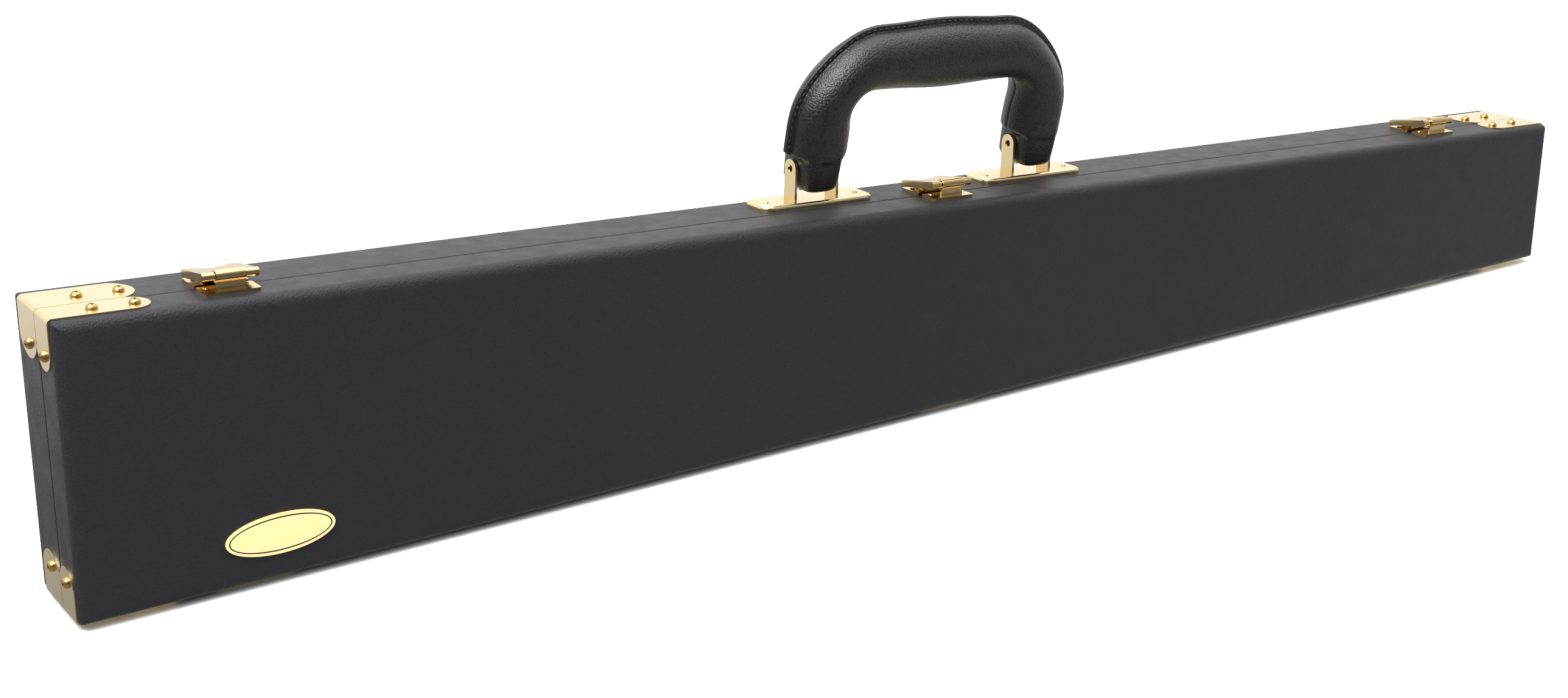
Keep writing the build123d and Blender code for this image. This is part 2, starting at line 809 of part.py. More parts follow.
def turn_buttons():
    """Turn buttons that hold the sticks down, each on a post on its rest."""
    rest_y = lining_inside("base") - rest_height
    with BuildPart() as posts:
        for end in ends.values():
            plane = case_plane(rest_y)
            spot = (end * rest_offset, 0)
            levels = [(post_foot_radius, 0, post_foot_height),
                      (post_radius, post_foot_height, post_foot_height + button_thickness + 2 * button_gap),
                      (post_head_radius, post_foot_height + button_thickness + 2 * button_gap,
                       post_foot_height + button_thickness + 2 * button_gap + post_head_height)]
            for radius, low, high in levels:
                with BuildSketch(plane.offset(low)):
                    with Locations(spot):
                        Circle(radius)
                extrude(amount=high - low)
    finish(posts, "button_posts")

    for name, end in ends.items():
        plane = case_plane(rest_y - post_foot_height - button_gap)
        reach = stick_offset(end * rest_offset) + button_overhang
        with BuildPart() as button:
            with BuildSketch(plane):
                with Locations((end * rest_offset, 0)):
                    SlotOverall(2 * reach, button_width, rotation=90)
                    Circle(post_radius + running_fit, mode=Mode.SUBTRACT)
            extrude(amount=button_thickness)
        finish(button, f"turn_button_{name}")


def build():
    """Makes every piece."""
    os.makedirs("parts", exist_ok=True)
    reliefs = hinge_reliefs()
    for half in halves:
        holes = shank_holes(half)
        case_half(half, holes, reliefs)
        corner_plates(half, holes)
    for name, along in latch_places.items():
        hinge(name, along)
        latch_strike(name, along)
        latch_catch(name, along)
        latch_lever(name, along)
    hinge_pins()
    hinge_screws("base", 1)
    hinge_screws("lid", -1)
    latch_pins()
    base_spots = [(along + way * rivet_spread, strike_foot_far - 4.0, latch_foot_thickness)
                  for along in latch_places.values() for way in (-1, 1)]
    base_spots += [(along + way * plate_rivet_spread, handle_from_seam, handle_plate_thickness)
                   for along in handle_places.values() for way in (-1, 1)]
    rivets("base", base_spots)
    lid_spots = [(along + way * rivet_spread, -catch_foot_near - 3.0, latch_foot_thickness)
                 for along in latch_places.values() for way in (-1, 1)]
    rivets("lid", lid_spots)
    for name, along in handle_places.items():
        handle_plate(name, along)
    handle_pins()
    handle()
    nameplate()
    blocks()
    turn_buttons()


build()
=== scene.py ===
import json
from math import atan, cos, hypot, pi, radians, sin, sqrt

import bpy
from mathutils import Matrix, Vector


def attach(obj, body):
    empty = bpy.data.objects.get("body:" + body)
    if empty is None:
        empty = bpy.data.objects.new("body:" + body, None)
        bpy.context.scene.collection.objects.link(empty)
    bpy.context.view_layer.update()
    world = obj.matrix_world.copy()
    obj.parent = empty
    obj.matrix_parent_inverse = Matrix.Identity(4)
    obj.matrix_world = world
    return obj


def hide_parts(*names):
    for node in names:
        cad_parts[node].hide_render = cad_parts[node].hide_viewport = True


# Looks of a slim tapered case for two instrument bows. Sizes are in millimetres until a mesh is
# made, and they are the same as in the solid model.
MM = 0.001

case_length = 800.0
left_height = 115.5
right_height = 74.0
lid_depth = 20.5
base_depth = 29.0
seam_gap = 0.3
lid_edge_radius = 4.7
base_edge_radius = 4.0
case_corner_radius = 1.5
covering_thickness = 0.8
board_thickness = 4.2
panel_behind_rounding = 0.4
lining_thickness = 1.0
stance = 2.4

handle_spacing = 121.4
handle_from_seam = 11.3
pin_height = 16.4
handle_lean = 11.0
grip_rise = 47.0
leg_radius = 13.2
grip_radius = 14.6
grip_bend_radius = 27.0
leg_start = 5.5
end_width = 19.6
end_thickness = 24.2
end_drop = 8.8
end_rounding = 3.5
end_squareness = 3.6
round_before_leg = 0.8
round_after_leg = 2.2
outer_shoulder_cut = 2.2
inner_corner_cut = 2.2
leg_fullness = 1.3
bar_lift = 0.4
welt_height = 2.8
welt_thickness = 2.4
stitch_pitch = 3.1
stitch_length = 2.1
stitch_radius = 0.27
stitch_end_sink = 0.28
stitch_proud = 0.06
stitches_above_leg = 4.5

nameplate_length = 43.4
nameplate_height = 16.0
nameplate_thickness = 0.9
nameplate_line_from_rim = 1.2
nameplate_line_width = 0.55
nameplate_line_proud = 0.03
nameplate_line_sunk = 0.2
nameplate_line_bevel = 0.05
nameplate_from_left = 75.9
nameplate_from_bottom = 18.8

block_clearance = 0.3
stick_spacing = 39.0
stick_convergence = 0.0259
frog_block_length = 70.0
frog_block_height = 17.0
frog_channel = 19.0
frog_channel_floor = 3.0
tip_block_length = 46.0
tip_block_height = 15.0
tip_channel = 11.0
tip_channel_floor = 3.0
channel_end_wall = 8.0
rest_length = 24.0
rest_height = 12.0
rest_offset = 200.0
groove_width = 11.0
groove_depth = 6.0
block_edge = 2.2
block_crown = 0.5
channel_soft = 1.2
lining_soft = 2.5
lining_corner = 2.5
seam_turn = 0.7

corner_steps = 6
floor_reach = 9000.0
card_below_floor = 1.0

# The camera of the photograph, found from the case's own corners.
camera_yaw = 33.395
camera_pitch = 18.713
camera_roll = -0.89
camera_lens = 50.957
camera_place = (-589.2, -773.5, 352.2)

half_taper = atan((left_height - right_height) / 2 / case_length)
side_slope = 2 * half_taper
mean_height = (left_height + right_height) / 2
front_y = -(lid_depth + base_depth) / 2
seam_y = front_y + lid_depth
back_y = seam_y + base_depth
centre_z = stance + cos(half_taper) * mean_height / 2
wall = covering_thickness + board_thickness
inner_wall = wall + lining_thickness
handle_y = seam_y + handle_from_seam

# Each half is told by its large face, its rim, the way from face to rim, and its rounding.
halves = {
    "lid": (front_y, seam_y - seam_gap / 2, 1, lid_edge_radius),
    "base": (back_y, seam_y + seam_gap / 2, -1, base_edge_radius),
}

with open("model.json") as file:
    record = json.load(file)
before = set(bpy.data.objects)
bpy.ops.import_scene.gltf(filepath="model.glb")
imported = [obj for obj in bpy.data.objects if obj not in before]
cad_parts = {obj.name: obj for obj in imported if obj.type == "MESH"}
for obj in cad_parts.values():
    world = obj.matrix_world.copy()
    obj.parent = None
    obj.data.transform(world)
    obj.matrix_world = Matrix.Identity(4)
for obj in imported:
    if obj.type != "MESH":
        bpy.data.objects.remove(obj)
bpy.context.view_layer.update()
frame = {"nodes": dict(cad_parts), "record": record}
nodes = frame["nodes"]


def case_point(u, v, y):
    """A point from places along and across the case's centreline, at depth y."""
    x = u * cos(half_taper) + v * sin(half_taper)
    z = centre_z - u * sin(half_taper) + v * cos(half_taper)
    return Vector((x, y, z))


def half_height(u, inset):
    """Half the case's height at a place on its centreline, less an inset from its side."""
    narrowing = u * (left_height - right_height) / 2 / case_length
    return mean_height / 2 - narrowing - inset / cos(half_taper)


def top_point(s, y, h):
    """A point above the sloping top, s from the middle of the top and h away from it."""
    middle = case_point(0, mean_height / 2, y)
    along = Vector((cos(side_slope), 0, -sin(side_slope)))
    up = Vector((sin(side_slope), 0, cos(side_slope)))
    return middle + along * s + up * h


def outline_ring(inset, corner, y):
    """The case's outline drawn in by an inset, with rounded corners, as a ring of points."""
    reach = case_length / 2 - inset
    corners = [(-reach, -half_height(-reach, inset)), (reach, -half_height(reach, inset)),
               (reach, half_height(reach, inset)), (-reach, half_height(-reach, inset))]
    ring = []
    for i, here in enumerate(corners):
        before = Vector(corners[i - 1])
        after = Vector(corners[(i + 1) % 4])
        here = Vector(here)
        back = (before - here).normalized()
        on = (after - here).normalized()
        half_angle = back.angle(on) / 2
        centre = here + (back + on).normalized() * corner / sin(half_angle)
        start = here + back * corner / (sin(half_angle) / cos(half_angle)) - centre
        sweep = pi - 2 * half_angle
        for k in range(corner_steps + 1):
            turned = start.copy()
            turned.rotate(Matrix.Rotation(sweep * k / corner_steps, 2))
            ring.append(case_point(centre.x + turned.x, centre.y + turned.y, y))
    return ring


def new_object(name, points, faces, material, smooth=True):
    """A mesh object from points in millimetres."""
    mesh = bpy.data.meshes.new(name)
    mesh.from_pydata([Vector(p) * MM for p in points], [], faces)
    mesh.validate()
    mesh.polygons.foreach_set("use_smooth", [smooth] * len(mesh.polygons))
    mesh.materials.append(material)
    mesh.update()
    obj = bpy.data.objects.new(name, mesh)
    bpy.context.scene.collection.objects.link(obj)
    return obj


def loft(rings, closed=False):
    """Points and faces of a skin over rings of equal count, capped or closed into a loop."""
    count = len(rings[0])
    points = [p for ring in rings for p in ring]
    faces = []
    pairs = len(rings) if closed else len(rings) - 1
    for i in range(pairs):
        low = i * count
        high = ((i + 1) % len(rings)) * count
        for k in range(count):
            n = (k + 1) % count
            faces.append((low + k, low + n, high + n, high + k))
    if not closed:
        faces.append(tuple(range(count - 1, -1, -1)))
        low = (len(rings) - 1) * count
        faces.append(tuple(low + k for k in range(count)))
    return points, faces


def make_material(name, colour, roughness, metallic=0.0):
    """A material, its node tree and its shader."""
    material = bpy.data.materials.new(name)
    material.use_nodes = True
    shader = material.node_tree.nodes["Principled BSDF"]
    shader.inputs["Base Color"].default_value = (*colour, 1)
    shader.inputs["Roughness"].default_value = roughness
    shader.inputs["Metallic"].default_value = metallic
    return material, material.node_tree, shader


def add_node(tree, kind, **settings):
    """Adds a node, with attributes or input values set by name."""
    node = tree.nodes.new(kind)
    for key, value in settings.items():
        if hasattr(node, key):
            setattr(node, key, value)
        else:
            node.inputs[key.replace("_", " ")].default_value = value
    return node


def coordinates(tree, scale):
    """Object coordinates scaled so that one unit is the given number of millimetres."""
    source = add_node(tree, "ShaderNodeTexCoord")
    mapping = add_node(tree, "ShaderNodeMapping")
    mapping.inputs["Scale"].default_value = (1000 / scale,) * 3
    tree.links.new(source.outputs["Object"], mapping.inputs["Vector"])
    return mapping.outputs["Vector"]


def ramp(tree, value, low, high, first, last):
    """Maps a value's range to another range."""
    node = add_node(tree, "ShaderNodeMapRange")
    node.inputs["From Min"].default_value = low
    node.inputs["From Max"].default_value = high
    node.inputs["To Min"].default_value = first
    node.inputs["To Max"].default_value = last
    tree.links.new(value, node.inputs["Value"])
    return node.outputs["Result"]


def colour_between(tree, factor, first, second):
    """Mixes two colours by a factor."""
    node = add_node(tree, "ShaderNodeMix", data_type="RGBA")
    node.inputs[6].default_value = (*first, 1)
    node.inputs[7].default_value = (*second, 1)
    tree.links.new(factor, node.inputs[0])
    return node.outputs[2]


def vary_colour(tree, shader, factor, first, second):
    """Lets the surface's colour run between two colours by a factor."""
    tree.links.new(colour_between(tree, factor, first, second), shader.inputs["Base Color"])


def vary_roughness(tree, shader, field, low, high):
    """Lets the roughness follow the middle range of a noise field."""
    tree.links.new(ramp(tree, field, 0.3, 0.7, low, high), shader.inputs["Roughness"])


def chain_bumps(tree, shader, layers):
    """Stacks bump layers, each a height with its strength and depth in millimetres."""
    normal = None
    for height, strength, depth in layers:
        bump = add_node(tree, "ShaderNodeBump")
        bump.inputs["Strength"].default_value = strength
        bump.inputs["Distance"].default_value = depth * MM
        tree.links.new(height, bump.inputs["Height"])
        if normal:
            tree.links.new(normal, bump.inputs["Normal"])
        normal = bump.outputs["Normal"]
    tree.links.new(normal, shader.inputs["Normal"])


def grain(tree, size):
    """Leather grain: rounded pebbles that meet in creases, broken up by noise. The pebble height is
    also the mask of the painted shade in the creases.
    """
    vector = coordinates(tree, size)
    noise = add_node(tree, "ShaderNodeTexNoise", Scale=1.6, Detail=2.0)
    tree.links.new(vector, noise.inputs["Vector"])
    offset = add_node(tree, "ShaderNodeVectorMath", operation="SCALE")
    offset.inputs["Scale"].default_value = 0.9
    tree.links.new(noise.outputs["Color"], offset.inputs[0])
    moved = add_node(tree, "ShaderNodeVectorMath", operation="ADD")
    tree.links.new(vector, moved.inputs[0])
    tree.links.new(offset.outputs[0], moved.inputs[1])
    cells = add_node(tree, "ShaderNodeTexVoronoi", feature="F1", Scale=1.0)
    tree.links.new(moved.outputs[0], cells.inputs["Vector"])
    square = add_node(tree, "ShaderNodeMath", operation="POWER")
    square.inputs[1].default_value = 1.8
    tree.links.new(cells.outputs["Distance"], square.inputs[0])
    pebble_and_crease_shade = ramp(tree, square.outputs[0], 0.0, 0.75, 1.0, 0.0)
    return pebble_and_crease_shade, noise.outputs["Fac"]


def noise_field(tree, size, detail=3.0, roughness=0.5):
    """Plain noise with features of a given size."""
    noise = add_node(tree, "ShaderNodeTexNoise", Scale=1.0, Detail=detail, Roughness=roughness)
    tree.links.new(coordinates(tree, size), noise.inputs["Vector"])
    return noise.outputs["Fac"]


def covering_material():
    """Pebbled black vinyl, faintly blue, glued over boards."""
    material, tree, shader = make_material("case_covering", (0.016, 0.016, 0.019), 0.42)
    pebble_and_crease_shade, fine = grain(tree, 0.8)
    lumps = noise_field(tree, 3.2, 2.0)
    waves = noise_field(tree, 30.0, 2.0)
    patches = noise_field(tree, 9.0, 3.0)
    chain_bumps(tree, shader, [(waves, 0.3, 0.4), (lumps, 0.3, 0.2), (pebble_and_crease_shade, 0.9, 0.14),
                               (fine, 0.3, 0.04)])
    # The grain's creases are painted darker and its crowns lighter: painted shade in the creases and
    # a painted highlight on the crowns.
    vary_colour(tree, shader, pebble_and_crease_shade, (0.0115, 0.0115, 0.0135), (0.0155, 0.0156, 0.0187))
    vary_roughness(tree, shader, patches, 0.38, 0.5)
    shader.inputs["Specular IOR Level"].default_value = 0.3
    return material


def leather_material():
    """Glossy black leather with a pebbled grain and slight creases, with painted highlights on the
    grain's crowns and painted shade in its creases.
    """
    material, tree, shader = make_material("handle_leather", (0.009, 0.009, 0.0095), 0.28)
    pebble_and_crease_shade, fine = grain(tree, 0.85)
    creases = noise_field(tree, 4.0, 4.0, 0.6)
    chain_bumps(tree, shader, [(creases, 0.4, 0.35), (pebble_and_crease_shade, 0.8, 0.15), (fine, 0.3, 0.03)])
    # The crowns are painted lighter and the creases darker: painted highlight and painted shade.
    vary_colour(tree, shader, pebble_and_crease_shade, (0.004, 0.004, 0.0045), (0.012, 0.012, 0.0125))
    vary_roughness(tree, shader, creases, 0.24, 0.36)
    shader.inputs["Specular IOR Level"].default_value = 0.6
    return material


def brass_material(name, colour, roughness):
    """Polished plated brass with faint handling marks."""
    material, tree, shader = make_material(name, colour, roughness, 1.0)
    smears = noise_field(tree, 6.0, 4.0, 0.6)
    fine = noise_field(tree, 0.6, 2.0)
    vary_roughness(tree, shader, smears, roughness - 0.04, roughness + 0.07)
    deeper = tuple(c * 0.93 for c in colour)
    vary_colour(tree, shader, smears, deeper, colour)
    chain_bumps(tree, shader, [(smears, 0.12, 0.12), (fine, 0.08, 0.01)])
    return material


def gold_plate_material():
    """Satin gold lacquer on the nameplate, which looks bright from every side."""
    material, tree, shader = make_material("nameplate_gold", (0.95, 0.7, 0.33), 0.36, 0.2)
    cloud = noise_field(tree, 9.0, 2.0)
    brushed = noise_field(tree, 0.5, 2.0)
    vary_colour(tree, shader, cloud, (0.9, 0.65, 0.29), (1.0, 0.75, 0.37))
    vary_roughness(tree, shader, brushed, 0.32, 0.42)
    chain_bumps(tree, shader, [(brushed, 0.05, 0.01)])
    return material


def velvet_material():
    """Deep wine velvet with a soft sheen and a brushed nap."""
    material, tree, shader = make_material("lining", (0.16, 0.012, 0.028), 0.9)
    nap = noise_field(tree, 14.0, 3.0, 0.55)
    pile = noise_field(tree, 0.5, 2.0)
    vary_colour(tree, shader, nap, (0.11, 0.006, 0.017), (0.23, 0.02, 0.042))
    chain_bumps(tree, shader, [(nap, 0.3, 0.4), (pile, 0.5, 0.12)])
    shader.inputs["Sheen Weight"].default_value = 0.7
    shader.inputs["Sheen Roughness"].default_value = 0.35
    shader.inputs["Sheen Tint"].default_value = (0.75, 0.3, 0.36, 1)
    return material


def board_material():
    """Plain plywood, hidden under the covering."""
    material, tree, shader = make_material("board", (0.6, 0.45, 0.28), 0.6)
    streaks = noise_field(tree, 12.0, 4.0, 0.6)
    vary_colour(tree, shader, streaks, (0.5, 0.36, 0.21), (0.68, 0.53, 0.35))
    chain_bumps(tree, shader, [(streaks, 0.2, 0.1)])
    return material


def steel_material():
    """Drawn steel for the pins."""
    material, tree, shader = make_material("pin_steel", (0.34, 0.25, 0.15), 0.35, 1.0)
    lines = noise_field(tree, 1.0, 3.0)
    vary_roughness(tree, shader, lines, 0.28, 0.45)
    chain_bumps(tree, shader, [(lines, 0.15, 0.03)])
    return material


def thread_material():
    """Waxed black thread."""
    material, tree, shader = make_material("thread", (0.03, 0.03, 0.033), 0.45)
    twist = noise_field(tree, 0.25, 2.0)
    vary_colour(tree, shader, twist, (0.018, 0.018, 0.02), (0.05, 0.05, 0.054))
    chain_bumps(tree, shader, [(twist, 0.5, 0.05)])
    return material


def groove_shade_material():
    """A dark sheet laid in the nameplate's groove: painted shade of the groove."""
    material, tree, shader = make_material("nameplate_line", (0.02, 0.015, 0.012), 0.4)
    mottle = noise_field(tree, 1.5, 2.0)
    vary_roughness(tree, shader, mottle, 0.32, 0.48)
    chain_bumps(tree, shader, [(mottle, 0.1, 0.03)])
    return material


leather = leather_material()
thread = thread_material()
looks = {
    "case_covering": covering_material(),
    "board": board_material(),
    "lining": velvet_material(),
    "brass": brass_material("brass", (0.9, 0.735, 0.43), 0.17),
    "pin_steel": steel_material(),
    "handle_leather": leather,
}
# A darker, more orange copy of the brass for the screws and pins: painted shade standing in for
# their darker reflections.
screw_brass_painted_dark = brass_material("screw_brass_painted_dark", (0.66, 0.42, 0.16), 0.26)
latch_brass = brass_material("latch_brass", (0.82, 0.61, 0.3), 0.14)
plate_gold = gold_plate_material()


def dress_nodes():
    """Gives every node of the solid model its material."""
    for entry in frame["record"]["subparts"]:
        for material_slot in nodes[entry["node"]].material_slots:
            material_slot.material = looks[entry["material_slot"]]
    nodes["nameplate"].material_slots[0].material = plate_gold
    # The screws and pins get the darker copy of the brass, a painted shade.
    for name in ("corner_screws_base", "corner_screws_lid", "handle_pins"):
        nodes[name].material_slots[0].material = screw_brass_painted_dark
    for name, node in nodes.items():
        if name.startswith("latch_") and name != "latch_pins":
            node.material_slots[0].material = latch_brass


def handle_axes():
    """The handle's own frame: its origin between the pins, and its three directions."""
    along = Vector((cos(side_slope), 0, -sin(side_slope)))
    up = Vector((sin(side_slope), 0, cos(side_slope)))
    lean = radians(handle_lean)
    forward = Vector((0, -1, 0)) * cos(lean) - up * sin(lean)
    return top_point(0, handle_y, pin_height), along, forward.cross(along), forward


def leg_heights():
    """Places up a leg, close together at the rounded end and at the shoulder."""
    heights = [-end_drop + end_rounding * (1 - cos(pi / 2 * k / 6)) for k in range(7)]
    heights += [-3.0, 0.0, 2.5, 4.0]
    heights += [leg_start - round_before_leg + 0.4 * k for k in range(10)]
    bend_start = grip_rise - grip_bend_radius
    heights += [leg_start + 3.5 + (bend_start - leg_start - 3.5) * k / 8 for k in range(9)]
    return heights


def handle_path():
    """The handle's middle line, as places (along, up) with their outward direction."""
    half_span = handle_spacing / 2
    bend_start = grip_rise - grip_bend_radius
    half_bar = half_span - grip_bend_radius
    places = [(-half_span, h, -1.0, 0.0) for h in leg_heights()]
    for k in range(1, 21):
        t = pi / 2 * k / 20
        places.append((-half_bar - grip_bend_radius * cos(t), bend_start + grip_bend_radius * sin(t),
                       -cos(t), sin(t)))
    one_side = len(places)
    for k in range(1, 24):
        places.append((-half_bar + 2 * half_bar * k / 24, grip_rise, 0.0, 1.0))
    mirrored = [(-x, h, -px, ph) for x, h, px, ph in reversed(places[:one_side])]
    return places + mirrored


def section_profile():
    """The round part of the grip with its sewn welt, as (outward, sideways) for radius one leg."""
    half = welt_thickness / 2
    profile = [(leg_radius + welt_height - 0.3, 0.0), (leg_radius + welt_height, 0.4),
               (leg_radius + welt_height - 0.1, half - 0.25), (leg_radius + welt_height - 0.5, half),
               (leg_radius + welt_height * 0.6, half), (leg_radius + 0.6, half - 0.1),
               (leg_radius + 0.15, half), (leg_radius - 0.05, half + 0.4),
               (leg_radius - 0.2, half + 1.0)]
    after_welt = 0.22
    inner_seam = 0.08
    steps = 28
    for k in range(steps + 1):
        angle = after_welt + (pi - inner_seam - after_welt) * k / steps
        profile.append((leg_radius * cos(angle), leg_radius * sin(angle)))
    profile += [(-leg_radius + 0.12, 0.55), (-leg_radius + 0.6, 0.12)]
    mirrored = [(p, -q) for p, q in reversed(profile[1:])]
    return profile + mirrored


def end_point(p, q):
    """Where a point of the round section goes on the flattened end of the leather."""
    length = hypot(p, q)
    dx = p / length
    dy = q / length
    power = end_squareness
    wide = abs(dx * 2 / end_width) ** power
    thick = abs(dy * 2 / end_thickness) ** power
    scale = (wide + thick) ** (-1 / power)
    return dx * scale, dy * scale


def smooth_step(low, high, value):
    """Rises smoothly from none to one between two values."""
    t = min(1.0, max(0.0, (value - low) / (high - low)))
    return t * t * (3 - 2 * t)


def leather_growth(x, h, ph):
    """How far the leather stands outside or inside the leg's plain radius, outward and inward."""
    corner = (2 * ph * sqrt(max(0.0, 1 - ph * ph))) ** 2
    half_bar = handle_spacing / 2 - grip_bend_radius
    swell = grip_radius - leg_radius
    middle = swell * cos(min(1.0, abs(x) / half_bar) * pi / 2) ** 2 if ph > 0.999 else 0.0
    lower = smooth_step(leg_start, leg_start + 4.0, h)
    lower *= smooth_step(grip_rise - 12.0, leg_start + 8.0, h)
    inward = leg_fullness * lower - bar_lift * smooth_step(leg_start + 12.0, grip_rise, h)
    return middle - outer_shoulder_cut * corner, middle + inward - inner_corner_cut * corner


def build_grip():
    """The padded leather grip: one skin from end to end with a welt along its outer side."""
    origin, along, up, forward = handle_axes()
    profile = section_profile()
    rings = []
    for x, h, px, ph in handle_path():
        on_leg = ph < 0.001
        round_from = leg_start - round_before_leg
        round_share = smooth_step(round_from, leg_start + round_after_leg, h) if on_leg else 1.0
        welt_share = smooth_step(leg_start + 0.4, leg_start + 3.0, h) if on_leg else 1.0
        outward, inward = leather_growth(x, h, ph)
        above_end = h + end_drop
        turned = max(0.0, 1 - above_end / end_rounding)
        tuck = 1.0 if not on_leg else 1 - end_rounding / 10 * (1 - sqrt(1 - turned * turned))
        tuck -= 0.04 * (1 - smooth_step(-end_drop, leg_start, h)) if on_leg else 0.0
        ring = []
        for p, q in profile:
            length = hypot(p, q)
            over = max(0.0, length - leg_radius)
            kept = (length - over * (1 - welt_share)) / length
            share = (1 + p / leg_radius) / 2
            growth = outward * smooth_step(0.2, 0.9, share) + inward * smooth_step(0.6, 0.0, share)
            base_p = p * kept + growth * p / length
            base_q = q * kept
            ep, eq = end_point(p, q)
            rp = ep * tuck * (1 - round_share) + base_p * round_share
            rq = eq * tuck * (1 - round_share) + base_q * round_share
            ring.append(origin + along * (x + px * rp) + up * (h + ph * rp) + forward * rq)
        rings.append(ring)
    points, faces = loft(rings)
    grip = new_object("grip_leather", points, faces, leather)
    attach(grip, "handle")
    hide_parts("handle_grip")


def build_stitches():
    """Two rows of stitches, one on each side of the welt."""
    origin, along, up, forward = handle_axes()
    path = handle_path()
    line = []
    for x, h, px, ph in path:
        reach = leg_radius + welt_height * 0.5 + leather_growth(x, h, ph)[0]
        line.append(Vector((x + px * reach, h + ph * reach)))
    first_height = leg_start + stitches_above_leg
    start = next(i for i, place in enumerate(path) if place[1] > first_height)
    line = line[start:len(line) - start]
    points = []
    faces = []
    carried = 0.0
    for a, b in zip(line, line[1:]):
        step = (b - a).length
        while carried <= step:
            middle = a.lerp(b, carried / step)
            heading = (b - a).normalized()
            for side in (-1, 1):
                add_stitch(points, faces, middle, heading, side, (origin, along, up, forward))
            carried += stitch_pitch
        carried -= step
    stitches = new_object("grip_stitches", points, faces, thread)
    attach(stitches, "handle")


def add_stitch(points, faces, middle, heading, side, axes):
    """One stitch: a short rounded bar, its ends sunk into the leather."""
    origin, along, up, forward = axes
    across = Vector((-heading.y, heading.x))
    ring_count = 6
    steps = 5
    first = len(points)
    for i in range(steps + 1):
        t = i / steps * 2 - 1
        radius = stitch_radius * sqrt(max(0.0, 1 - t * t * 0.85))
        sink = stitch_end_sink * t * t
        centre = middle + heading * (t * stitch_length / 2)
        for k in range(ring_count):
            angle = 2 * pi * k / ring_count
            flat = centre + across * (radius * cos(angle))
            out = side * (welt_thickness / 2 + stitch_proud - sink + radius * sin(angle))
            points.append(origin + along * flat.x + up * flat.y + forward * out)
    for i in range(steps):
        for k in range(ring_count):
            n = (k + 1) % ring_count
            low = first + i * ring_count
            faces.append((low + k, low + n, low + ring_count + n, low + ring_count + k))
    faces.append(tuple(first + k for k in reversed(range(ring_count))))
    faces.append(tuple(first + steps * ring_count + k for k in range(ring_count)))


def build_nameplate_line():
    """The thin dark line inside the nameplate's rim, a painted shade of its groove."""
    centre = Vector((nameplate_from_left - case_length / 2, 0, stance + nameplate_from_bottom))
    face = front_y - nameplate_thickness
    outer = nameplate_line_from_rim
    inner = outer + nameplate_line_width
    proud = face - nameplate_line_proud
    sunk = face + nameplate_line_sunk
    bevel = nameplate_line_bevel
    around = 96
    rings = []
    for inset, y in ((outer, sunk), (outer, proud + 0.02), (outer + bevel, proud),
                     (inner - bevel, proud), (inner, proud + 0.02), (inner, sunk)):
        ring = []
        for k in range(around):
            angle = 2 * pi * k / around
            ring.append(centre + Vector(((nameplate_length / 2 - inset) * cos(angle), y,
                                         (nameplate_height / 2 - inset) * sin(angle))))
        rings.append(ring)
    points, faces = loft(rings, closed=True)
    line = new_object("nameplate_line", points, faces, groove_shade_material())
    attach(line, "lid")


def edge_arc(radius, y_face, way, steps):
    """Rings around a rounded face edge: (inset, y) from the flat face to the straight side."""
    arc = []
    for k in range(steps + 1):
        angle = pi / 2 * k / steps
        arc.append((radius * (1 - sin(angle)), y_face + way * radius * (1 - cos(angle))))
    return arc


def build_covering(half):
    """The covering of one half as a closed skin with softly turned edges at the seam."""
    face, rim, way, radius = halves[half]
    turn = seam_turn
    thick = covering_thickness
    outside = [(radius + 3, face)] + edge_arc(radius, face, way, 10)
    outside += [(0.0, rim - way * (turn + 1.5))]
    for k in range(5):
        angle = pi / 2 * k / 4
        outside.append((turn * (1 - cos(angle)), rim - way * turn * (1 - sin(angle))))
    outside += [(wall - 0.5, rim), (wall - 0.15, rim - way * 0.15), (wall, rim - way * 0.5)]
    inside = [(wall, rim - way * thick), (thick, rim - way * thick)]
    inner_arc = reversed(edge_arc(radius - thick, face, way, 4))
    inside += [(thick + inset, y + way * thick) for inset, y in inner_arc]
    rings = [outline_ring(inset, max(0.3, case_corner_radius - inset), y)
             for inset, y in outside + inside]
    points, faces = loft(rings)
    covering = new_object(f"{half}_vinyl", points, faces, looks["case_covering"])
    mark_sharp_edges(covering)
    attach(covering, half)
    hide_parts(f"{half}_covering")


def lining_floor(half):
    """The depth of the lining's inner face."""
    face, _, way, radius = halves[half]
    return face + way * (radius + panel_behind_rounding + lining_thickness)


def build_lining(half):
    """The velvet glued into one half: a thin tray with a soft lip and a soft inner corner."""
    rim, way = halves[half][1:3]
    floor = lining_floor(half)
    lip = rim - way * covering_thickness
    section = [(wall, floor - way * lining_thickness, 0.4), (wall, lip - way * 0.3, 0.4),
               (wall + 0.15, lip - way * 0.06, 0.4), (wall + 0.5, lip, 0.6),
               (inner_wall - 0.15, lip - way * 0.06, 0.8), (inner_wall, lip - way * 0.35, 1.0)]
    for inset, y in reversed(edge_arc(lining_soft, floor, way, 6)):
        section.append((inner_wall + inset, y, lining_corner))
    rings = [outline_ring(inset, corner, y) for inset, y, corner in section]
    points, faces = loft(rings)
    lining = new_object(f"{half}_velvet", points, faces, looks["lining"])
    mark_sharp_edges(lining, 50)
    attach(lining, half)
    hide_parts(f"{half}_lining")


def stations(low, high, walls):
    """Places across a block, close together at its edges and at its channels' walls."""
    places = [edge + way * step for edge, way in ((low, 1), (high, -1))
              for step in (0, 0.2, 0.6, 1.2, 2.2)]
    places += [wall_at + channel_soft * k / 4 for wall_at in walls for k in range(-5, 6)]
    count = round((high - low) / 3)
    places += [low + (high - low) * k / count for k in range(1, count)]
    kept = [low]
    for place in sorted(places):
        if place - kept[-1] > 0.15 and high - place > 0.1:
            kept.append(place)
    return kept + [high]


def edge_drop(distance):
    """How far a block's top has turned down at a distance from its edge."""
    left = max(0.0, block_edge - distance)
    return block_edge - sqrt(block_edge ** 2 - left ** 2)


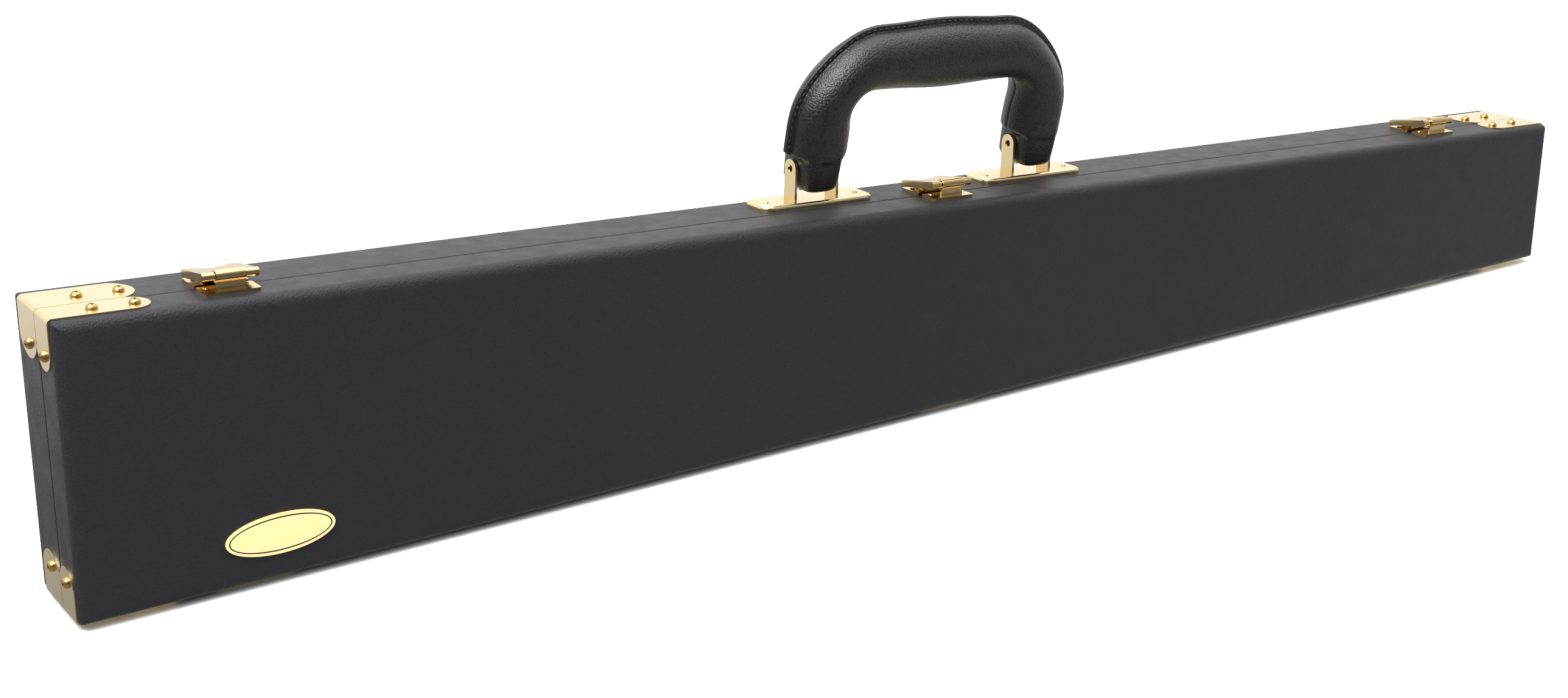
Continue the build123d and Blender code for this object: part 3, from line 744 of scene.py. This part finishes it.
def build_block(node, start, end, height, channel):
    """A padded velvet block on the base's lining, with a soft channel for each stick."""
    low, high, width, channel_floor = channel
    inset = inner_wall + block_clearance
    middle_u = (start + end) / 2
    half = half_height(middle_u, inset)
    stick = (stick_spacing - middle_u * stick_convergence) / 2
    across = stations(-half, half, [side * stick + edge * width / 2
                                    for side in (-1, 1) for edge in (-1, 1)])
    lengthways = stations(start, end, [place for place in (low, high) if start < place < end])
    floor = lining_floor("base")
    open_end = 99.0
    rings = []
    for u in lengthways:
        spread = half_height(u, inset) / half
        ring = [case_point(u, -half * spread, floor)]
        for v in across:
            from_wall = min(u - low if low > start else open_end,
                            high - u if high < end else open_end)
            lengthwise = smooth_step(-channel_soft, channel_soft, from_wall)
            sideways = smooth_step(width / 2 + channel_soft, width / 2 - channel_soft,
                                   abs(abs(v) - stick))
            crown = block_crown * (1 - (v / half) ** 2)
            rise = height - block_crown + crown - edge_drop(min(u - start, end - u))
            rise -= edge_drop(half - abs(v))
            rise -= (rise - channel_floor) * lengthwise * sideways
            ring.append(case_point(u, v * spread, floor - rise))
        ring.append(case_point(u, half * spread, floor))
        rings.append(ring)
    points, faces = loft(rings)
    block = new_object(f"{node}_velvet", points, faces, looks["lining"])
    mark_sharp_edges(block, 60)
    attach(block, "base")
    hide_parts(node)


def build_blocks():
    """The blocks for the frogs and heads, and the rests under the sticks."""
    reach = case_length / 2 - inner_wall - block_clearance
    frog_end = -reach + frog_block_length
    build_block("frog_block", -reach, frog_end, frog_block_height,
                (-reach + channel_end_wall, frog_end, frog_channel, frog_channel_floor))
    tip_start = reach - tip_block_length
    build_block("tip_block", tip_start, reach, tip_block_height,
                (tip_start, reach - channel_end_wall, tip_channel, tip_channel_floor))
    for name, way in (("left", -1), ("right", 1)):
        start = way * rest_offset - rest_length / 2
        build_block(f"stick_rest_{name}", start, start + rest_length, rest_height,
                    (start, start + rest_length, groove_width, rest_height - groove_depth))


def mark_sharp_edges(obj, degrees=35):
    """Marks the edges sharp where faces meet at more than an angle."""
    mesh = obj.data
    faces_at = {}
    for polygon in mesh.polygons:
        for key in polygon.edge_keys:
            faces_at.setdefault(key, []).append(polygon.normal)
    for edge in mesh.edges:
        normals = faces_at.get(edge.key, [])
        if len(normals) == 2:
            edge.use_edge_sharp = normals[0].angle(normals[1], 0) > radians(degrees)


def level_square(name, z, material):
    """A large level square at a height."""
    reach = floor_reach
    points = [(-reach, -reach, z), (reach, -reach, z), (reach, reach, z), (-reach, reach, z)]
    return new_object(name, points, [(0, 1, 2, 3)], material, smooth=False)


def build_stage():
    """A plain white floor, a softly graded surround and soft lights."""
    floor_material, _, shader = make_material("floor", (0.93, 0.93, 0.93), 0.1)
    shader.inputs["Specular IOR Level"].default_value = 0.6
    floor = level_square("floor", 0.0, floor_material)
    floor.visible_glossy = False
    build_reflection_glow_card()

    world = bpy.data.worlds.new("studio")
    bpy.context.scene.world = world
    world.use_nodes = True
    tree = world.node_tree
    direction = add_node(tree, "ShaderNodeTexCoord")
    towards = add_node(tree, "ShaderNodeVectorMath", operation="DOT_PRODUCT")
    towards.inputs[1].default_value = (0.25, 0.9, 0.35)
    tree.links.new(direction.outputs["Generated"], towards.inputs[0])
    strength = ramp(tree, towards.outputs["Value"], -0.75, 1.0, 0.1, 1.2)
    tree.links.new(strength, tree.nodes["Background"].inputs["Strength"])
    tree.nodes["Background"].inputs["Color"].default_value = (1, 1, 1, 1)

    add_light("top_softbox", place=(0.3, 0.3, 2.3), target=(0.1, 0.0, 0.0), size=3.4, power=55)
    add_light("left_softbox", place=(-1.3, -0.5, 1.9), target=(0.0, 0.0, 0.1), size=1.5, power=60)
    fill = add_light("front_fill", place=(0.4, -1.3, 2.2), target=(0.1, -0.2, 0.0), size=3.0,
                     power=75)
    fill.visible_glossy = False


def build_reflection_glow_card():
    """A glowing card just under the floor, seen only in reflections in the floor's place: a painted
    reflection, darker in front and paler behind.
    """
    card_material, tree, shader = make_material("reflection_glow_card", (0.0, 0.0, 0.0), 1.0)
    shader.inputs["Specular IOR Level"].default_value = 0.0
    shader.inputs["Emission Strength"].default_value = 1.0
    place = add_node(tree, "ShaderNodeTexCoord")
    backwards = add_node(tree, "ShaderNodeVectorMath", operation="DOT_PRODUCT")
    backwards.inputs[1].default_value = (0.4, 1.0, 0.0)
    tree.links.new(place.outputs["Object"], backwards.inputs[0])
    back = ramp(tree, backwards.outputs["Value"], -0.35, 0.25, 0.0, 1.0)
    # The card glows dark in front and pale behind, a painted reflection of a darker surround in
    # front.
    dark = (0.16,) * 3
    pale = (0.82,) * 3
    tree.links.new(colour_between(tree, back, dark, pale), shader.inputs["Emission Color"])
    card = level_square("reflection_glow_card", -card_below_floor, card_material)
    card.visible_camera = False
    card.visible_diffuse = False
    card.visible_shadow = False


def add_light(name, place, target, size, power):
    """A soft square light that looks at a target."""
    data = bpy.data.lights.new(name, "AREA")
    data.size = size
    data.energy = power
    light = bpy.data.objects.new(name, data)
    light.location = place
    light.rotation_euler = (Vector(target) - Vector(place)).to_track_quat("-Z", "Y").to_euler()
    bpy.context.scene.collection.objects.link(light)
    return light


def build_camera():
    """The camera that looks at the case as the photograph does."""
    yaw = radians(camera_yaw)
    pitch = radians(camera_pitch)
    roll = radians(camera_roll)
    forward = Vector((sin(yaw) * cos(pitch), cos(yaw) * cos(pitch), -sin(pitch)))
    level = Vector((cos(yaw), -sin(yaw), 0))
    upright = level.cross(forward)
    right = level * cos(roll) + upright * sin(roll)
    up = upright * cos(roll) - level * sin(roll)
    data = bpy.data.cameras.new("camera")
    data.sensor_width = 36.0
    data.lens = camera_lens
    data.clip_end = 100
    camera = bpy.data.objects.new("camera", data)
    turn = Matrix((right, up, -forward)).transposed().to_4x4()
    camera.matrix_world = Matrix.Translation(Vector(camera_place) * MM) @ turn
    bpy.context.scene.collection.objects.link(camera)
    bpy.context.scene.camera = camera


build_camera()
dress_nodes()
for half_name in halves:
    build_covering(half_name)
    build_lining(half_name)
build_blocks()
build_grip()
build_stitches()
build_nameplate_line()
build_stage()
bpy.context.scene.view_settings.view_transform = "Standard"
